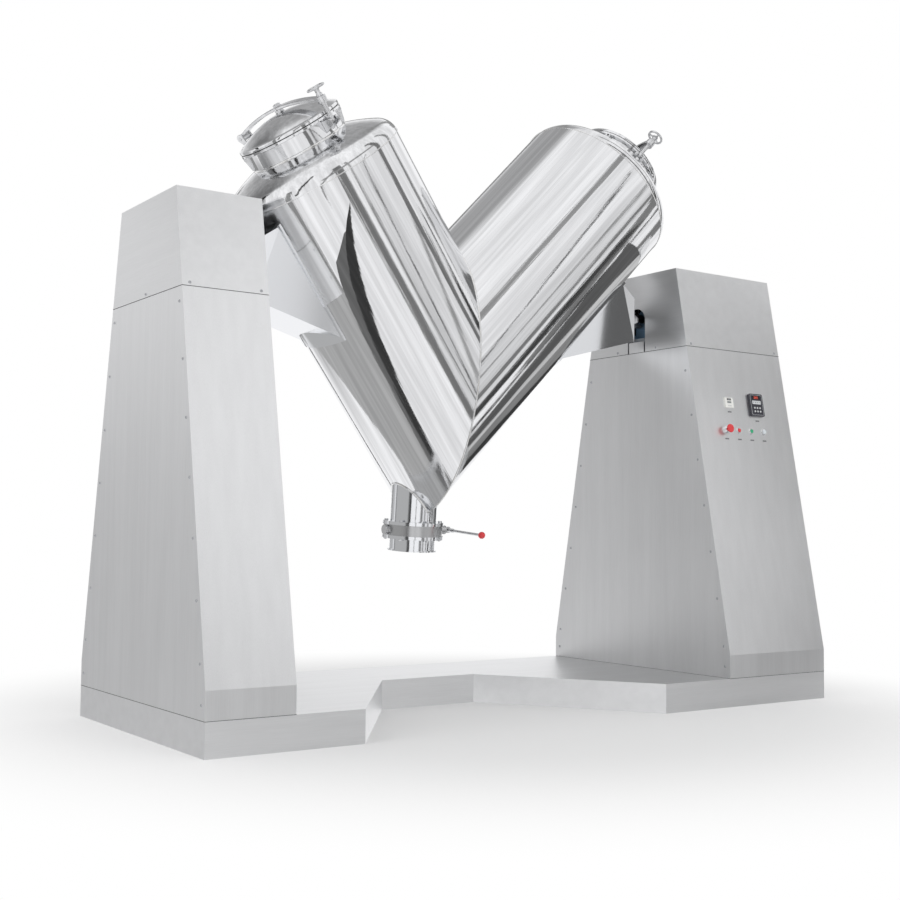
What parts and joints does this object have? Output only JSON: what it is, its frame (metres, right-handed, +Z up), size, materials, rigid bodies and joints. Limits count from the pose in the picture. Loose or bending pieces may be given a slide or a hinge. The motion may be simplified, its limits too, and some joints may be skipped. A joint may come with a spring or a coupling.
{
  "type": "powder mixer",
  "caption": "Double-tube tumbling powder mixer: a polished V-shaped drum with hinged lids and a butterfly outlet valve, turned between two stainless pillars.",
  "frame": {"origin": "on the floor, under the middle of the base", "axes": "+X along the drum shaft toward the drive pillar, +Y to the back, +Z up"},
  "size_m": [3.121, 1.202, 2.6488],
  "materials": {
    "satin_steel": "satin brushed stainless steel sheet",
    "mirror_steel": "mirror polished stainless steel",
    "trim_steel": "polished trim rings and label plates",
    "dark_steel": "machined iron, oiled",
    "screw_steel": "plain stainless screws",
    "frame_paint": "grey primer paint",
    "drive_paint": "blue machine paint",
    "box_paint": "light grey powder coat",
    "black_rubber": "black rubber",
    "black_plastic": "black plastic, slight gloss",
    "white_plastic": "pale plastic",
    "white_lens": "milky lamp lens",
    "red_plastic": "red plastic",
    "green_plastic": "green plastic",
    "grey_keys": "grey key tops"
  },
  "bodies": {
    "frame": {"base_cover": "satin_steel", "base_frame": "frame_paint", "left_post": "frame_paint", "right_post": "frame_paint", "left_wrap": "satin_steel", "right_wrap": "satin_steel", "left_inner_panel": "satin_steel", "left_outer_panel": "satin_steel", "right_inner_panel": "satin_steel", "right_outer_panel": "satin_steel", "left_head": "satin_steel", "right_head": "satin_steel", "panel_screws": "screw_steel", "bearings": "drive_paint", "gearbox": "drive_paint", "motor": "drive_paint", "v_belts": "black_rubber", "control_box": "box_paint", "supply_gland": "black_plastic", "timer": "white_plastic", "keypad": "black_plastic", "control_trim": "trim_steel", "pilot_lamp": "white_lens"},
    "drum": {"left_leg": "mirror_steel", "right_leg": "mirror_steel", "left_dish": "mirror_steel", "right_dish": "mirror_steel", "left_manway": "mirror_steel", "right_manway": "mirror_steel", "left_bracket": "mirror_steel", "right_bracket": "mirror_steel", "left_shaft": "mirror_steel", "right_shaft": "mirror_steel", "outlet_neck": "mirror_steel", "valve_body": "satin_steel", "valve_seat": "black_rubber", "valve_bolts": "screw_steel", "spout": "mirror_steel"},
    "valve": {"valve_disc": "mirror_steel", "valve_lever": "mirror_steel", "lever_knob": "red_plastic"},
    "left_lid": {"left_lid": "mirror_steel", "left_gasket": "black_rubber", "left_yoke": "mirror_steel"},
    "right_lid": {"right_lid": "mirror_steel", "right_gasket": "black_rubber", "right_yoke": "mirror_steel"},
    "left_clamp": {"left_clamp": "mirror_steel"},
    "right_clamp": {"right_clamp": "mirror_steel"},
    "input_drive": {"input_pulley": "dark_steel"},
    "motor_drive": {"motor_pulley": "dark_steel"},
    "estop_button": {"estop_head": "red_plastic"},
    "stop_button": {"stop_cap": "red_plastic"},
    "start_button": {"start_cap": "green_plastic"},
    "key_1": {"keypad_key_1": "grey_keys"},
    "key_2": {"keypad_key_2": "grey_keys"},
    "key_3": {"keypad_key_3": "grey_keys"},
    "key_4": {"keypad_key_4": "grey_keys"},
    "key_5": {"keypad_key_5": "grey_keys"},
    "key_6": {"keypad_key_6": "grey_keys"}
  },
  "joints": [
    {"name": "mix_spin", "type": "hinge", "parent": "frame", "child": "drum", "pos_m": [-0.26, 0, 1.78], "axis": [1, 0, 0], "continuous": true},
    {"name": "valve_turn", "type": "hinge", "parent": "drum", "child": "valve", "pos_m": [-0.293, 0.08513, 0.76627], "axis": [1, 0, 0], "range_deg": [0, 90]},
    {"name": "left_lid_swing", "type": "hinge", "parent": "drum", "child": "left_lid", "pos_m": [-1.06577, 0.20286, 2.37913], "axis": [0.7703, 0.1917, 0.6082], "range_deg": [-105, 0]},
    {"name": "left_clamp_screw", "type": "hinge", "parent": "left_lid", "child": "left_clamp", "pos_m": [-0.92231, -0.28157, 2.35012], "axis": [-0.6081, -0.0664, 0.7911], "range_deg": [0, 1800]},
    {"name": "right_lid_swing", "type": "hinge", "parent": "drum", "child": "right_lid", "pos_m": [0.81563, 0.19304, 2.49606], "axis": [0.711, -0.1858, -0.6782], "range_deg": [-105, 0]},
    {"name": "right_clamp_screw", "type": "hinge", "parent": "right_lid", "child": "right_clamp", "pos_m": [0.67392, -0.29252, 2.48053], "axis": [0.6805, -0.0613, 0.7302], "range_deg": [0, 1800]},
    {"name": "worm_input_spin", "type": "hinge", "parent": "frame", "child": "input_drive", "pos_m": [1.25, 0.225, 1.89], "axis": [0, 1, 0], "continuous": true},
    {"name": "motor_spin", "type": "hinge", "parent": "frame", "child": "motor_drive", "pos_m": [1.25, 0.225, 1.207], "axis": [0, 1, 0], "continuous": true},
    {"name": "estop_press", "type": "slide", "parent": "frame", "child": "estop_button", "axis": [0, 0.9828, -0.1845], "range_m": [0, 0.005], "stiffness_N_per_m": 2500, "springref_m": -0.00125},
    {"name": "stop_press", "type": "slide", "parent": "frame", "child": "stop_button", "axis": [0, 0.9828, -0.1845], "range_m": [0, 0.004], "stiffness_N_per_m": 1500, "springref_m": -0.001},
    {"name": "start_press", "type": "slide", "parent": "frame", "child": "start_button", "axis": [0, 0.9828, -0.1845], "range_m": [0, 0.004], "stiffness_N_per_m": 1500, "springref_m": -0.001},
    {"name": "key_1_press", "type": "slide", "parent": "frame", "child": "key_1", "axis": [0, 0.9828, -0.1845], "range_m": [0, 0.001], "stiffness_N_per_m": 2000, "springref_m": -0.00025},
    {"name": "key_2_press", "type": "slide", "parent": "frame", "child": "key_2", "axis": [0, 0.9828, -0.1845], "range_m": [0, 0.001], "stiffness_N_per_m": 2000, "springref_m": -0.00025},
    {"name": "key_3_press", "type": "slide", "parent": "frame", "child": "key_3", "axis": [0, 0.9828, -0.1845], "range_m": [0, 0.001], "stiffness_N_per_m": 2000, "springref_m": -0.00025},
    {"name": "key_4_press", "type": "slide", "parent": "frame", "child": "key_4", "axis": [0, 0.9828, -0.1845], "range_m": [0, 0.001], "stiffness_N_per_m": 2000, "springref_m": -0.00025},
    {"name": "key_5_press", "type": "slide", "parent": "frame", "child": "key_5", "axis": [0, 0.9828, -0.1845], "range_m": [0, 0.001], "stiffness_N_per_m": 2000, "springref_m": -0.00025},
    {"name": "key_6_press", "type": "slide", "parent": "frame", "child": "key_6", "axis": [0, 0.9828, -0.1845], "range_m": [0, 0.001], "stiffness_N_per_m": 2000, "springref_m": -0.00025}
  ],
  "couplings": [
    {"joint": "worm_input_spin", "follows": "mix_spin", "ratio": 30},
    {"joint": "motor_spin", "follows": "mix_spin", "ratio": 48}
  ]
}
